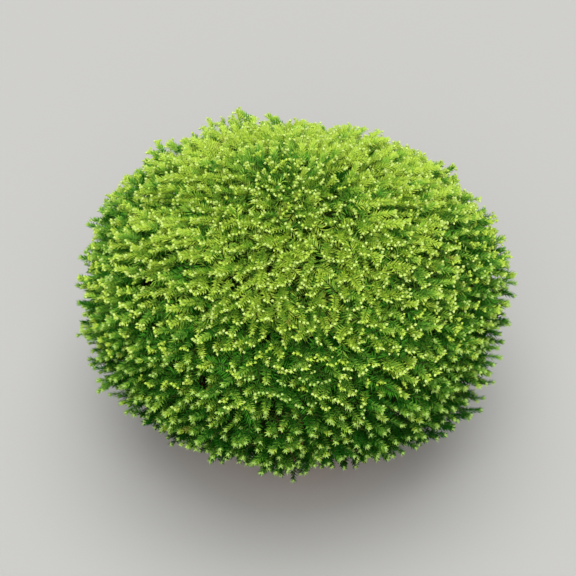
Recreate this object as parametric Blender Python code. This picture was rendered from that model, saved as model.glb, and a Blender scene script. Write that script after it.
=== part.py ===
"""Little gem spruce: a low bun of short shoots on a short trunk, in a plain low pan pot.

Metres, +Z up. The origin is the middle of the pot's flat underside, and the side at -Y is the front.
The crown is a flattened ball cut into foliage masses. Each mass keeps to the space nearer to its own axis
than to any other mass's, and is a core that flat toothed sprays stand out of.
"""

import math
import random

import bmesh
import bpy
from mathutils import Matrix, Vector

# Crown: width and height over the spray tips, and the height of its middle above the floor
CROWN_WIDTH = 0.460
CROWN_HEIGHT = 0.306
CROWN_MIDDLE_Z = 0.166

# Low pan pot of fired clay
POT_HEIGHT = 0.110
POT_RIM_RADIUS = 0.130
POT_FOOT_RADIUS = 0.080
POT_WALL = 0.009
POT_BASE = 0.011
POT_EDGE = 0.003
POT_BELLY = 0.62
RIM_BAND_HEIGHT = 0.026
RIM_BAND_STEP = 0.005
DRAIN_HOLES = 3
DRAIN_HOLE_RADIUS = 0.006
DRAIN_HOLE_SIDES = 16
DRAIN_RING_RADIUS = 0.045
ROUND_STEPS = 40

# Compost in the pot: its depth below the rim, how far its surface falls from the trunk to the wall, and the
# share of that fall on the inner half of the way
SOIL_BELOW_RIM = 0.015
SOIL_FALL = 0.004
SOIL_INNER_FALL = 1 / 3

# Trunk: radius at its flared foot, just above the flare, and at its tip
TRUNK_FLARE_RADIUS = 0.027
TRUNK_RADIUS = 0.0165
TRUNK_TIP_RADIUS = 0.0065
TRUNK_TIP_Z = 0.238
TRUNK_LEAN = 0.006
TRUNK_BEND = 0.0024
TRUNK_FLARE_FADE = 14.0
TRUNK_PLUMB_SHARE = 0.05
TRUNK_RINGS = (0.0, TRUNK_PLUMB_SHARE, 0.12, 0.22, 0.38, 0.55, 0.72, 0.88, 1.0)
TRUNK_SIDES = 14

# Boughs and the stems of the masses that meet them
BOUGH_ROOT_RADIUS = 0.0042
BOUGH_TIP_RADIUS = 0.0028
BOUGH_STEPS = 4
BOUGH_SIDES = 6
BOUGH_SAG = 0.25
BOUGH_ARCH = 0.003
BOUGH_SHORT_OF_CORE = 0.055
STEM_RADIUS = 0.0025
STEM_TAPER = 0.8
STEM_SUNK = 0.014
SEAT_GAP = 0.0003

# Rings of foliage masses: name, how many, latitude on the crown, turn of the first one (degrees),
# the height at which their boughs leave the trunk, and how far every other one leaves it higher
RINGS = (
    ("top", 1, 90.0, 0.0, None, 0.0),
    ("upper", 6, 50.0, 12.0, 0.182, 0.010),
    ("middle", 8, 13.0, 0.0, 0.149, 0.011),
    ("lower", 8, -26.0, 22.5, 0.119, 0.004),
)
MASS_SEED = 4
AZIMUTH_SHIFT = 6.0
LATITUDE_SHIFT = 4.0
LOWER_BOUGH_Z = 0.1255
LOWER_BOUGH_REACH = 0.128

# Cores, as shares of the crown's own radii, their distance to the borders of their space, how deep the sprays
# start in them, and the rounds of small moves that bring a spray's root there
CORE_OUTER = 0.80
CORE_INNER = 0.60
CORE_BORDER = 0.0018
CORE_BEYOND_RIM = 0.005
CORE_DETAIL = 2
ROOT_DEPTH = 0.0055
ROOT_MOVES = 30

# Sprays: how many, their lowest and highest latitude, the steps in which the crown's area is summed up
# between them, their size, and their clearance from borders and pot
SPRAY_COUNT = 550
LOWEST_LATITUDE = -47.0
HIGHEST_LATITUDE = 89.0
AREA_STEPS = 2000
SPRAY_LENGTH = 0.054
SPRAY_HALF_WIDTH = 0.0165
SPRAY_THICKNESS = 0.0085
SPRAY_BORDER = 0.0006
SPRAY_ABOVE_POT = 0.003
SPRAY_SEED = 20

# How far sprays stray: latitude, azimuth, swing, rise and twist from level (degrees), and their shares of
# the crown's reach, of their length and of their width
STRAY_LATITUDE = 2.0
STRAY_AZIMUTH = 3.0
STRAY_SWING = 14.0
STRAY_RISE = 9.0
STRAY_TWIST = 38.0
TIP_SPREAD = (0.955, 1.025)
LENGTH_SPREAD = (0.92, 1.08)
WIDTH_SPREAD = (0.85, 1.15)
NARROWING = (1.0, 0.85, 0.7, 0.55, 0.4)

# How steeply the sprays climb, as (latitude of the tip, rise) in degrees
SPRAY_RISE = ((-90.0, -12.0), (-20.0, 0.0), (30.0, 13.0), (60.0, 34.0), (90.0, 76.0))

# Outline of one side of a spray, between root and tip: share of half width, share of length
SPRAY_OUTLINE = ((1.0, 0.62), (0.34, 0.68))
SPRAY_CREST = 0.45

# Swell of the crown's surface as waves (height, waves round it, slant, turn), and its tufts, lobes and dents
# (azimuth, latitude and width in degrees, rise), all as shares of its reach
BASE_REACH = 0.975
SWELLS = ((0.012, 3, 0.0, 0.7), (0.0096, 5, 4.0, 0.0))
LOBES = (
    (113.0, 38.0, 9.0, 0.115),
    (94.0, 38.0, 9.0, 0.030),
    (154.0, 20.0, 14.0, 0.040),
    (196.0, -13.0, 14.0, 0.032),
    (135.0, 31.0, 6.0, 0.055),
    (208.0, -22.0, 11.0, 0.045),
    (247.0, -38.0, 11.0, -0.045),
    (265.0, -41.0, 8.0, 0.030),
    (316.0, -30.0, 16.0, 0.065),
    (332.0, -20.0, 9.0, 0.040),
    (8.0, 8.0, 8.0, 0.025),
    (39.0, 28.0, 6.0, 0.065),
)

GOLDEN_ANGLE = math.pi * (3.0 - math.sqrt(5.0))
UP = Vector((0.0, 0.0, 1.0))
CROWN_MIDDLE = Vector((0.0, 0.0, CROWN_MIDDLE_Z))
RADII = Vector((CROWN_WIDTH / 2.0, CROWN_WIDTH / 2.0, CROWN_HEIGHT / 2.0))
SOIL_Z = POT_HEIGHT - SOIL_BELOW_RIM

CLAY = ("clay", (0.50, 0.23, 0.13), 0.85)
COMPOST = ("compost", (0.07, 0.045, 0.03), 0.95)
BARK = ("bark", (0.20, 0.13, 0.08), 0.9)
NEEDLES = ("needles", (0.23, 0.38, 0.05), 0.7)

# Edges sharper than this stay sharp (degrees), on turned pieces and on limbs; corners this near are one
TURNED_ANGLE = 40.0
LIMB_ANGLE = 50.0
SAME_CORNER = 1e-5


# Scene helpers


def clear_scene():
    for obj in list(bpy.data.objects):
        bpy.data.objects.remove(obj)


def material(name, colour, roughness):
    """The named Principled material, made once."""
    found = bpy.data.materials.get(name)
    if found is None:
        found = bpy.data.materials.new(name)
        found.use_nodes = True
        shader = found.node_tree.nodes["Principled BSDF"]
        shader.inputs["Base Color"].default_value = (*colour, 1.0)
        shader.inputs["Roughness"].default_value = roughness
        shader.inputs["Metallic"].default_value = 0.0
    return found


def add_object(name, bm, finish=None, collection=None):
    """Turns a bmesh into an object of the scene, or of a collection of pieces to be fused."""
    mesh = bpy.data.meshes.new(name)
    bm.to_mesh(mesh)
    bm.free()
    obj = bpy.data.objects.new(name, mesh)
    (collection or bpy.context.scene.collection).objects.link(obj)
    if finish:
        mesh.materials.append(material(*finish))
    return obj


def shade_round(obj, angle=TURNED_ANGLE):
    obj.data.shade_smooth()
    obj.data.set_sharp_from_angle(angle=math.radians(angle))


def take_evaluated_mesh(obj):
    """Applies every modifier on obj."""
    bpy.context.view_layer.update()
    graph = bpy.context.evaluated_depsgraph_get()
    made = bpy.data.meshes.new_from_object(obj.evaluated_get(graph))
    obj.modifiers.clear()
    obj.data = made


def boolean(obj, operation, other):
    """Cuts or joins another object, or every object of a collection, and applies it."""
    modifier = obj.modifiers.new("boolean", "BOOLEAN")
    modifier.operation = operation
    modifier.solver = "EXACT"
    if isinstance(other, bpy.types.Collection):
        modifier.operand_type = "COLLECTION"
        modifier.collection = other
    else:
        modifier.object = other
    take_evaluated_mesh(obj)


def turned(profile, steps):
    """Spins a closed profile of (radius, height) points round the Z axis."""
    bm = bmesh.new()
    verts = [bm.verts.new((radius, 0.0, height)) for radius, height in profile]
    edges = [bm.edges.new((verts[i - 1], verts[i])) for i in range(1, len(verts))]
    if profile[0][0] > 0.0:
        edges.append(bm.edges.new((verts[-1], verts[0])))
    bmesh.ops.spin(
        bm, geom=verts + edges, cent=(0, 0, 0), axis=(0, 0, 1), angle=math.tau, steps=steps, use_merge=True
    )
    bmesh.ops.remove_doubles(bm, verts=bm.verts, dist=SAME_CORNER)
    bmesh.ops.recalc_face_normals(bm, faces=bm.faces)
    return bm


def limb(points, radii, sides):
    """A tapering limb along points, as a mesh: rings square to the path, bridged and capped."""
    bm = bmesh.new()
    loops = []
    for i, (point, radius) in enumerate(zip(points, radii)):
        along = (points[min(i + 1, len(points) - 1)] - points[max(i - 1, 0)]).normalized()
        place = Matrix.Translation(point) @ along.to_track_quat("Z", "Y").to_matrix().to_4x4()
        end = i in (0, len(points) - 1)
        ring = bmesh.ops.create_circle(bm, cap_ends=end, segments=sides, radius=radius, matrix=place)["verts"]
        loops.append({edge for vert in ring for edge in vert.link_edges})
    for first, second in zip(loops, loops[1:]):
        bmesh.ops.bridge_loops(bm, edges=list(first | second))
    bmesh.ops.recalc_face_normals(bm, faces=bm.faces)
    bmesh.ops.triangulate(bm, faces=bm.faces, quad_method="FIXED")
    return bm


def bent_path(start, knee, end, steps):
    """Points of a quadratic curve from start to end that is drawn towards knee."""
    shares = [i / steps for i in range(steps + 1)]
    return [start * (1 - t) ** 2 + knee * 2 * t * (1 - t) + end * t * t for t in shares]


# The crown's own space


def direction(azimuth, latitude):
    """A point of the unit ball that the crown is a stretched copy of."""
    a, b = math.radians(azimuth), math.radians(latitude)
    return Vector((math.cos(a) * math.cos(b), math.sin(a) * math.cos(b), math.sin(b)))


def stray(chance, most):
    return chance.uniform(-most, most)


def crown_point(unit, share=1.0):
    return CROWN_MIDDLE + Vector((unit[i] * RADII[i] for i in range(3))) * share


def unit_of(point):
    """The place in the unit ball that a point of the crown comes from."""
    return Vector(((point[i] - CROWN_MIDDLE[i]) / RADII[i] for i in range(3)))


def reach(unit):
    """How far the crown reaches in a direction, as a share of its radii."""
    azimuth = math.atan2(unit.y, unit.x)
    level = math.hypot(unit.x, unit.y)
    total = BASE_REACH
    for height, waves, slant, turn in SWELLS:
        total += height * level * math.sin(waves * azimuth + slant * unit.z + turn)
    for lobe_azimuth, latitude, width, rise in LOBES:
        away = unit.angle(direction(lobe_azimuth, latitude)) / math.radians(width)
        total += rise * math.exp(-away * away)
    return total


def mass_list():
    """Name, axis, bough root height and plumb direction of each foliage mass."""
    chance = random.Random(MASS_SEED)
    masses = []
    for ring, count, latitude, turn, bough_z, stagger in RINGS:
        for i in range(count):
            azimuth = turn + 360.0 * i / count + stray(chance, AZIMUTH_SHIFT)
            axis = direction(azimuth, min(90.0, latitude + stray(chance, LATITUDE_SHIFT)))
            name = ring if count == 1 else f"{ring}_{i + 1}"
            height = None if bough_z is None else bough_z + stagger * (i % 2)
            masses.append({"name": name, "axis": axis, "bough_z": height, "outward": direction(azimuth, 0.0)})
    return masses


def set_borders(masses):
    """Gives each mass the planes through the crown's middle that part it from the others, facing inwards."""
    for mass in masses:
        mass["borders"] = []
        for other in masses:
            if other is not mass:
                across = mass["axis"] - other["axis"]
                normal = Vector((across[i] / RADII[i] for i in range(3))).normalized()
                mass["borders"].append(normal)


def room(mass, point):
    """The distance from point to the nearest border of a mass's space, below zero outside it."""
    return min((point - CROWN_MIDDLE).dot(normal) for normal in mass["borders"])


def core_walls(mass):
    """The flat walls of a mass's core as (point, inward normal)."""
    walls = [(CROWN_MIDDLE + normal * CORE_BORDER, normal) for normal in mass["borders"]]
    inner = Vector((mass["axis"][i] / RADII[i] for i in range(3))).normalized()
    walls.append((crown_point(mass["axis"], CORE_INNER), inner))
    if mass["axis"].z < 0.0:
        walls.append((mass["outward"] * (POT_RIM_RADIUS + CORE_BEYOND_RIM), mass["outward"]))
    return walls


def even_latitudes(count, lowest):
    """Latitudes that share out the crown's surface from the top down to the lowest one evenly by area."""
    top, bottom = math.pi / 2, math.radians(lowest)
    width, height = RADII.x, RADII.z
    areas, total = [], 0.0
    for i in range(AREA_STEPS):
        b = top + (bottom - top) * (i + 0.5) / AREA_STEPS
        total += math.cos(b) * math.hypot(width * math.sin(b), height * math.cos(b))
        areas.append(total)
    latitudes, i = [], 0
    for k in range(count):
        while areas[i] < total * (k + 0.5) / count:
            i += 1
        latitudes.append(math.degrees(top + (bottom - top) * (i + 0.5) / AREA_STEPS))
    return latitudes


def pressed_in(mass, point):
    """The point moved as little as it takes to lie well inside the mass's core."""
    for _ in range(ROOT_MOVES):
        for on_wall, normal in core_walls(mass):
            short = ROOT_DEPTH - (point - on_wall).dot(normal)
            if short > 0.0:
                point = point + normal * short
        unit = unit_of(point)
        deepest = CORE_OUTER - ROOT_DEPTH / RADII.z
        if unit.length > deepest:
            point = crown_point(unit * (deepest / unit.length))
    return point


def spray_points(spray, width_share=1.0):
    """The outline of a spray's blade and its two crest points, in place."""
    half_width = spray["half_width"] * width_share
    along = spray["tip"] - spray["root"]
    face = along.cross(spray["side"]).normalized()
    right = [spray["root"] + spray["side"] * (half_width * w) + along * s for w, s in SPRAY_OUTLINE]
    left = [spray["root"] - spray["side"] * (half_width * w) + along * s for w, s in SPRAY_OUTLINE]
    outline = [spray["root"]] + right + [spray["tip"]] + left[::-1]
    middle = spray["root"] + along * SPRAY_CREST
    crests = [middle + face * (SPRAY_THICKNESS / 2), middle - face * (SPRAY_THICKNESS / 2)]
    return outline, crests


def spray_rise(latitude):
    """How steeply a spray climbs, by its tip's latitude: upright on top, near level on the flanks."""
    for (low, low_rise), (high, high_rise) in zip(SPRAY_RISE, SPRAY_RISE[1:]):
        if latitude <= high:
            return low_rise + (high_rise - low_rise) * (latitude - low) / (high - low)
    return SPRAY_RISE[-1][1]


def spray_list(masses):
    """The crown's sprays: even over its surface, each a near level fan that points outwards."""
    chance = random.Random(SPRAY_SEED)
    sprays = []
    for k, latitude in enumerate(even_latitudes(SPRAY_COUNT, LOWEST_LATITUDE)):
        latitude = min(HIGHEST_LATITUDE, latitude + stray(chance, STRAY_LATITUDE))
        azimuth = math.degrees(k * GOLDEN_ANGLE) + stray(chance, STRAY_AZIMUTH)
        unit = direction(azimuth, latitude)
        owner = max(masses, key=lambda mass: mass["axis"].dot(unit))
        tip = crown_point(unit, reach(unit) * chance.uniform(*TIP_SPREAD))
        swing, rise = stray(chance, STRAY_SWING), spray_rise(latitude) + stray(chance, STRAY_RISE)
        along = direction(azimuth + swing, rise)
        root = pressed_in(owner, tip - along * SPRAY_LENGTH * chance.uniform(*LENGTH_SPREAD))
        if room(owner, tip) < 2 * SPRAY_BORDER:
            tip = tip + (root - tip).normalized() * 2 * SPRAY_BORDER
        along = (tip - root).normalized()
        level = along.cross(UP).normalized()
        side = Matrix.Rotation(math.radians(stray(chance, STRAY_TWIST)), 3, along) @ level
        half_width = SPRAY_HALF_WIDTH * chance.uniform(*WIDTH_SPREAD)
        spray = {"mass": owner["name"], "root": root, "tip": tip, "side": side, "half_width": half_width}
        fitted = fit_spray(owner, spray)
        if fitted:
            sprays.append(fitted)
    return sprays


def fit_spray(mass, spray):
    """The spray made narrow enough to keep to its mass's space, or None where it can't."""
    for width_share in NARROWING:
        outline, crests = spray_points(spray, width_share)
        points = outline + crests
        if min(room(mass, point) for point in points) > SPRAY_BORDER and clears_pot(points):
            return {**spray, "half_width": spray["half_width"] * width_share}
    return None


def clears_pot(points):
    """True if no point comes near the pot."""
    radius, height = POT_RIM_RADIUS + SPRAY_ABOVE_POT, POT_HEIGHT + SPRAY_ABOVE_POT
    return all(math.hypot(point.x, point.y) > radius or point.z > height for point in points)


# The solids


def pot_wall():
    """Heights of the pot's belly and band, and its radii at belly, band and inner foot, belly and mouth."""
    band_z = POT_HEIGHT - RIM_BAND_HEIGHT
    below_band = POT_RIM_RADIUS - RIM_BAND_STEP
    mouth = POT_RIM_RADIUS - POT_WALL - RIM_BAND_STEP / 2
    inner_foot = POT_FOOT_RADIUS - POT_WALL / 2
    return {
        "belly_z": band_z / 2,
        "inner_belly_z": (band_z + POT_BASE) / 2,
        "band_z": band_z,
        "belly": POT_FOOT_RADIUS + (below_band - POT_FOOT_RADIUS) * POT_BELLY,
        "below_band": below_band,
        "inner_foot": inner_foot,
        "inner_belly": inner_foot + (mouth - inner_foot) * POT_BELLY,
        "mouth": mouth,
    }


def make_pot(wall):
    """A turned pan with a thickened rim band, open at the top, with drain holes in its flat base."""
    profile = [
        (0.0, 0.0),
        (POT_FOOT_RADIUS - POT_EDGE, 0.0),
        (POT_FOOT_RADIUS, POT_EDGE),
        (wall["belly"], wall["belly_z"]),
        (wall["below_band"], wall["band_z"] - POT_EDGE),
        (POT_RIM_RADIUS - POT_EDGE / 2, wall["band_z"]),
        (POT_RIM_RADIUS, wall["band_z"] + POT_EDGE),
        (POT_RIM_RADIUS, POT_HEIGHT - POT_EDGE),
        (POT_RIM_RADIUS - POT_EDGE, POT_HEIGHT),
        (wall["mouth"] + POT_EDGE, POT_HEIGHT),
        (wall["mouth"], POT_HEIGHT - POT_EDGE),
        (wall["inner_belly"], wall["inner_belly_z"]),
        (wall["inner_foot"], POT_BASE),
        (0.0, POT_BASE),
    ]
    pot = add_object("pot", turned(profile, ROUND_STEPS), CLAY)
    for i in range(DRAIN_HOLES):
        spot = Matrix.Translation(direction(360.0 * i / DRAIN_HOLES, 0.0) * DRAIN_RING_RADIUS)
        bm = bmesh.new()
        bmesh.ops.create_cone(
            bm, cap_ends=True, segments=DRAIN_HOLE_SIDES, radius1=DRAIN_HOLE_RADIUS,
            radius2=DRAIN_HOLE_RADIUS, depth=POT_BASE * 4, matrix=spot,
        )
        drill = add_object(f"drill_{i + 1}", bm)
        boolean(pot, "DIFFERENCE", drill)
        bpy.data.objects.remove(drill)
    shade_round(pot)


def make_soil(wall):
    """Compost that fills the pot, seated a hair inside its wall, its surface slightly mounded."""
    edge_z = SOIL_Z - SOIL_FALL
    risen = (edge_z - wall["inner_belly_z"]) / (POT_HEIGHT - POT_EDGE - wall["inner_belly_z"])
    edge = wall["inner_belly"] + (wall["mouth"] - wall["inner_belly"]) * risen
    gap = 2 * SEAT_GAP
    profile = [
        (0.0, POT_BASE + SEAT_GAP),
        (wall["inner_foot"] - gap, POT_BASE + SEAT_GAP),
        (wall["inner_belly"] - gap, wall["inner_belly_z"]),
        (edge - gap, edge_z),
        (edge / 2, SOIL_Z - SOIL_FALL * SOIL_INNER_FALL),
        (TRUNK_FLARE_RADIUS + SOIL_FALL, SOIL_Z),
        (0.0, SOIL_Z),
    ]
    shade_round(add_object("soil", turned(profile, ROUND_STEPS), COMPOST))


def trunk_axis(z):
    """The trunk's centre at a height: plumb at its foot, with a slight lean above."""
    share = max(0.0, (z - SOIL_Z) / (TRUNK_TIP_Z - SOIL_Z) - TRUNK_PLUMB_SHARE)
    return Vector((TRUNK_LEAN * share * share, TRUNK_BEND * math.sin(math.pi * share), z))


def trunk_radius(z):
    """The trunk's radius at a height: a root flare that dies out, then an even taper."""
    share = (z - SOIL_Z) / (TRUNK_TIP_Z - SOIL_Z)
    flare = (TRUNK_FLARE_RADIUS - TRUNK_RADIUS) * math.exp(-share * TRUNK_FLARE_FADE)
    return TRUNK_RADIUS + (TRUNK_TIP_RADIUS - TRUNK_RADIUS) * share + flare


def trunk_bmesh(grown=0.0):
    """The trunk, or with grown above zero the larger shape that the boughs keep clear of."""
    foot = SOIL_Z + SEAT_GAP
    heights = [foot + (TRUNK_TIP_Z - foot) * share for share in TRUNK_RINGS]
    points = [trunk_axis(z) for z in heights]
    points[0].z -= grown
    points[-1].z += grown
    return limb(points, [trunk_radius(z) + grown for z in heights], TRUNK_SIDES)


def make_trunk():
    shade_round(add_object("trunk", trunk_bmesh(), BARK), LIMB_ANGLE)


def bough_tip(mass):
    """Where a mass's bough ends and its stem begins."""
    if mass["axis"].z < 0.0:
        return mass["outward"] * LOWER_BOUGH_REACH + UP * LOWER_BOUGH_Z
    return crown_point(mass["axis"], CORE_INNER - BOUGH_SHORT_OF_CORE)


def bough_path(mass):
    """The bough's middle line: out of the trunk's own middle, sagging a little, to its tip."""
    start, end = trunk_axis(mass["bough_z"]), bough_tip(mass)
    knee = start.lerp(end, 0.5) + UP * (BOUGH_ARCH - BOUGH_SAG * (end.z - start.z))
    return bent_path(start, knee, end, BOUGH_STEPS)


def make_boughs(masses):
    """One tapering limb for each mass but the top one, cut to the trunk with a seating gap."""
    clearance = add_object("trunk_clearance", trunk_bmesh(SEAT_GAP))
    clearance.hide_render = True
    clearance.display_type = "WIRE"
    taper = (BOUGH_TIP_RADIUS - BOUGH_ROOT_RADIUS) / BOUGH_STEPS
    radii = [BOUGH_ROOT_RADIUS + taper * i for i in range(BOUGH_STEPS + 1)]
    for mass in masses:
        if mass["bough_z"] is not None:
            bough = add_object("bough_" + mass["name"], limb(bough_path(mass), radii, BOUGH_SIDES), BARK)
            boolean(bough, "DIFFERENCE", clearance)
            shade_round(bough, LIMB_ANGLE)


def core_bmesh(mass):
    """The crown's inner ball cut down to the mass's space."""
    bm = bmesh.new()
    bmesh.ops.create_icosphere(bm, subdivisions=CORE_DETAIL, radius=CORE_OUTER)
    bm.transform(Matrix.Translation(CROWN_MIDDLE) @ Matrix.Diagonal((*RADII, 1.0)))
    for on_wall, normal in core_walls(mass):
        parts = bm.verts[:] + bm.edges[:] + bm.faces[:]
        cut = bmesh.ops.bisect_plane(bm, geom=parts, plane_co=on_wall, plane_no=normal, clear_inner=True)
        rim = [part for part in cut["geom_cut"] if isinstance(part, bmesh.types.BMEdge)]
        if rim:
            bmesh.ops.contextual_create(bm, geom=rim)
    bmesh.ops.remove_doubles(bm, verts=bm.verts, dist=SAME_CORNER)
    bmesh.ops.triangulate(bm, faces=bm.faces)
    bmesh.ops.recalc_face_normals(bm, faces=bm.faces)
    return bm


def stem_bmesh(mass):
    """The short stem into the core, square to the end of the bough or trunk that it meets."""
    if mass["bough_z"] is None:
        tip, ahead = trunk_axis(TRUNK_TIP_Z), UP
    else:
        path = bough_path(mass)
        tip, ahead = path[-1], (path[-1] - path[-2]).normalized()
    inner = pressed_in(mass, tip)
    inner += (inner - tip).normalized() * STEM_SUNK
    path = [tip + ahead * SEAT_GAP, tip + ahead * (SEAT_GAP + STEM_RADIUS), inner]
    return limb(path, [STEM_RADIUS, STEM_RADIUS, STEM_RADIUS * STEM_TAPER], BOUGH_SIDES)


def blade_bmesh(spray):
    """A flat toothed blade: its outline, drawn up to a crest on each face."""
    outline, crests = spray_points(spray)
    bm = bmesh.new()
    rim = [bm.verts.new(point) for point in outline]
    over, under = (bm.verts.new(point) for point in crests)
    for first, second in zip(rim, rim[1:] + rim[:1]):
        bm.faces.new((first, second, over))
        bm.faces.new((second, first, under))
    bmesh.ops.recalc_face_normals(bm, faces=bm.faces)
    return bm


def shells(bm):
    """The closed shells of a bmesh as lists of faces."""
    left, found = set(bm.faces), []
    while left:
        queue = [left.pop()]
        shell = []
        while queue:
            face = queue.pop()
            shell.append(face)
            near = {other for edge in face.edges for other in edge.link_faces if other in left}
            left -= near
            queue.extend(near)
        found.append(shell)
    return found


def keep_largest_shell(obj):
    """Drops loose scraps and the walls of any hollow closed off inside."""
    bm = bmesh.new()
    bm.from_mesh(obj.data)
    found = sorted(shells(bm), key=len)
    for shell in found[:-1]:
        bmesh.ops.delete(bm, geom=shell, context="FACES")
    bm.to_mesh(obj.data)
    bm.free()


def make_foliage(masses, sprays):
    """Fuses each mass's stem and sprays to its core in one union."""
    for mass in masses:
        name = "foliage_" + mass["name"]
        pieces = bpy.data.collections.new(name + "_pieces")
        bpy.context.scene.collection.children.link(pieces)
        add_object(name + "_stem", stem_bmesh(mass), collection=pieces)
        for i, spray in enumerate(spray for spray in sprays if spray["mass"] == mass["name"]):
            add_object(f"{name}_spray_{i}", blade_bmesh(spray), collection=pieces)
        foliage = add_object(name, core_bmesh(mass), NEEDLES)
        boolean(foliage, "UNION", pieces)
        keep_largest_shell(foliage)
        for piece in list(pieces.objects):
            bpy.data.objects.remove(piece)
        bpy.data.collections.remove(pieces)
        foliage.data.materials.clear()
        foliage.data.materials.append(material(*NEEDLES))


def main():
    clear_scene()
    masses = mass_list()
    set_borders(masses)
    wall = pot_wall()
    make_pot(wall)
    make_soil(wall)
    make_trunk()
    make_boughs(masses)
    make_foliage(masses, spray_list(masses))


main()
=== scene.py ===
"""Little gem spruce in a low clay pan: bark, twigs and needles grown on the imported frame.

The crown's masses, boughs and sprays follow the same named sizes and seeded rule as the solids. Each spray is
carried on to a midrib with side shoots, and each shoot is a brush of needles with a pale tuft at its end.
"""

import math
import random

import bmesh
import bpy
import numpy as np
from mathutils import Matrix, Vector, noise


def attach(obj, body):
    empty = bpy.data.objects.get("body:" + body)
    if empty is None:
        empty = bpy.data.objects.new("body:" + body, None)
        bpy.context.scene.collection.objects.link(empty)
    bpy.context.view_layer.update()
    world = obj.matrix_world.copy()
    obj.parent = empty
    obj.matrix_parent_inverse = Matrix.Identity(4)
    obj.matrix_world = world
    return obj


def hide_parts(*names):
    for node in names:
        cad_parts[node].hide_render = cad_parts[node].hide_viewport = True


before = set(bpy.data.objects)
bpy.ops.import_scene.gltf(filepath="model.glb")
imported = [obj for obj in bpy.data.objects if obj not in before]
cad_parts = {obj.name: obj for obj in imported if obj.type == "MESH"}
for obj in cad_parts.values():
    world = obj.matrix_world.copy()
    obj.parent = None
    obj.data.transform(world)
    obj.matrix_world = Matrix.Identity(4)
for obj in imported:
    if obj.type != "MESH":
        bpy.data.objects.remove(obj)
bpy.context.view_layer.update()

# Crown: width and height over the spray tips, and the height of its middle above the floor
CROWN_WIDTH = 0.460
CROWN_HEIGHT = 0.306
CROWN_MIDDLE_Z = 0.166

# Low pan pot of fired clay; a rounded corner takes at most a share of each side
POT_HEIGHT = 0.110
POT_RIM_RADIUS = 0.130
POT_FOOT_RADIUS = 0.080
POT_WALL = 0.009
POT_BASE = 0.011
POT_EDGE = 0.003
POT_BELLY = 0.62
POT_STEPS = 96
ROUNDING_MOST = 0.45
RIM_BAND_HEIGHT = 0.026
RIM_BAND_STEP = 0.005
DRAIN_HOLES = 3
DRAIN_HOLE_RADIUS = 0.006
DRAIN_HOLE_SIDES = 24
DRAIN_RING_RADIUS = 0.045
SOIL_BELOW_RIM = 0.015
SOIL_FALL = 0.004

# Heights on the pot between which bloom by its foot fades out, bloom under its band comes in and then fades
# out, and damp in its foot fades out
FOOT_BLOOM = (0.004, 0.034)
BAND_BLOOM_FROM = (0.060, 0.084)
BAND_BLOOM_TO = (0.088, 0.104)
FOOT_DAMP = (0.0, 0.016)

# Compost: rings and steps of its surface, its lumps (how fine, how high), and its gap from the pot
SOIL_RINGS = 26
SOIL_STEPS = 84
SOIL_LUMPS = ((75.0, 0.0022), (210.0, 0.0012))
SEAT_GAP = 0.0003

# Bark chips: how many, in which share of the compost's area, how high, their size, turns, tilt and wear
CHIP_COUNT = 220
CHIP_AREA = (0.09, 0.9)
CHIP_LEVEL = (-0.002, 0.0015)
CHIP_LENGTH = (0.006, 0.016)
CHIP_WIDTH = (0.003, 0.006)
CHIP_THICKNESS = 0.0022
CHIP_TURNS = 7
CHIP_TILT = 0.5
CHIP_WEAR = (300.0, 0.0012)

# Trunk: radius at its flared foot, just above the flare, and at its tip
TRUNK_FLARE_RADIUS = 0.027
TRUNK_RADIUS = 0.0165
TRUNK_TIP_RADIUS = 0.0065
TRUNK_TIP_Z = 0.238
TRUNK_LEAN = 0.006
TRUNK_BEND = 0.0024
TRUNK_FLARE_FADE = 14.0
TRUNK_PLUMB_SHARE = 0.05

# Rings of the trunk's bark, crowded at its foot, which starts below the compost's surface
TRUNK_BELOW_SOIL = 0.002
TRUNK_RINGS = 44
TRUNK_RING_CROWDING = 1.25

# Boughs: a collar makes them thicker by a share at the trunk, and dies out within a few steps of their path
BOUGH_ROOT_RADIUS = 0.0042
BOUGH_TIP_RADIUS = 0.0028
BOUGH_SAG = 0.25
BOUGH_ARCH = 0.003
BOUGH_SHORT_OF_CORE = 0.055
BOUGH_STEPS = 22
BOUGH_COLLAR = 0.45
BOUGH_COLLAR_STEPS = 2.2

# Bark relief of trunk and boughs: sides, height as a share of the radius, and how fine it is; how fine it is
# upwards, as a share of that; and the ripples on it (how much finer, how high)
TRUNK_BARK = (40, 0.10, 420.0)
BOUGH_BARK = (12, 0.12, 900.0)
BARK_UPWARDS = 0.35
BARK_RIPPLES = (2.7, 0.5)

# Edges that turn by more than this stay sharp (degrees): those of most pieces, of bark, and of compost
SHARP_FROM = 40.0
BARK_SHARP_FROM = 70.0
COMPOST_SHARP_FROM = 80.0

# Rings of foliage masses: name, how many, latitude on the crown, turn of the first one (degrees),
# the height at which their boughs leave the trunk, and how far every other one leaves it higher
RINGS = (
    ("top", 1, 90.0, 0.0, None, 0.0),
    ("upper", 6, 50.0, 12.0, 0.182, 0.010),
    ("middle", 8, 13.0, 0.0, 0.149, 0.011),
    ("lower", 8, -26.0, 22.5, 0.119, 0.004),
)
MASS_SEED = 4
AZIMUTH_SHIFT = 6.0
LATITUDE_SHIFT = 4.0
LOWER_BOUGH_Z = 0.1255
LOWER_BOUGH_REACH = 0.128

# The inner part of each mass that its sprays start in
CORE_OUTER = 0.80
CORE_INNER = 0.60
CORE_BORDER = 0.0018
CORE_BEYOND_RIM = 0.005
ROOT_DEPTH = 0.0055
ROOT_MOVES = 30

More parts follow.
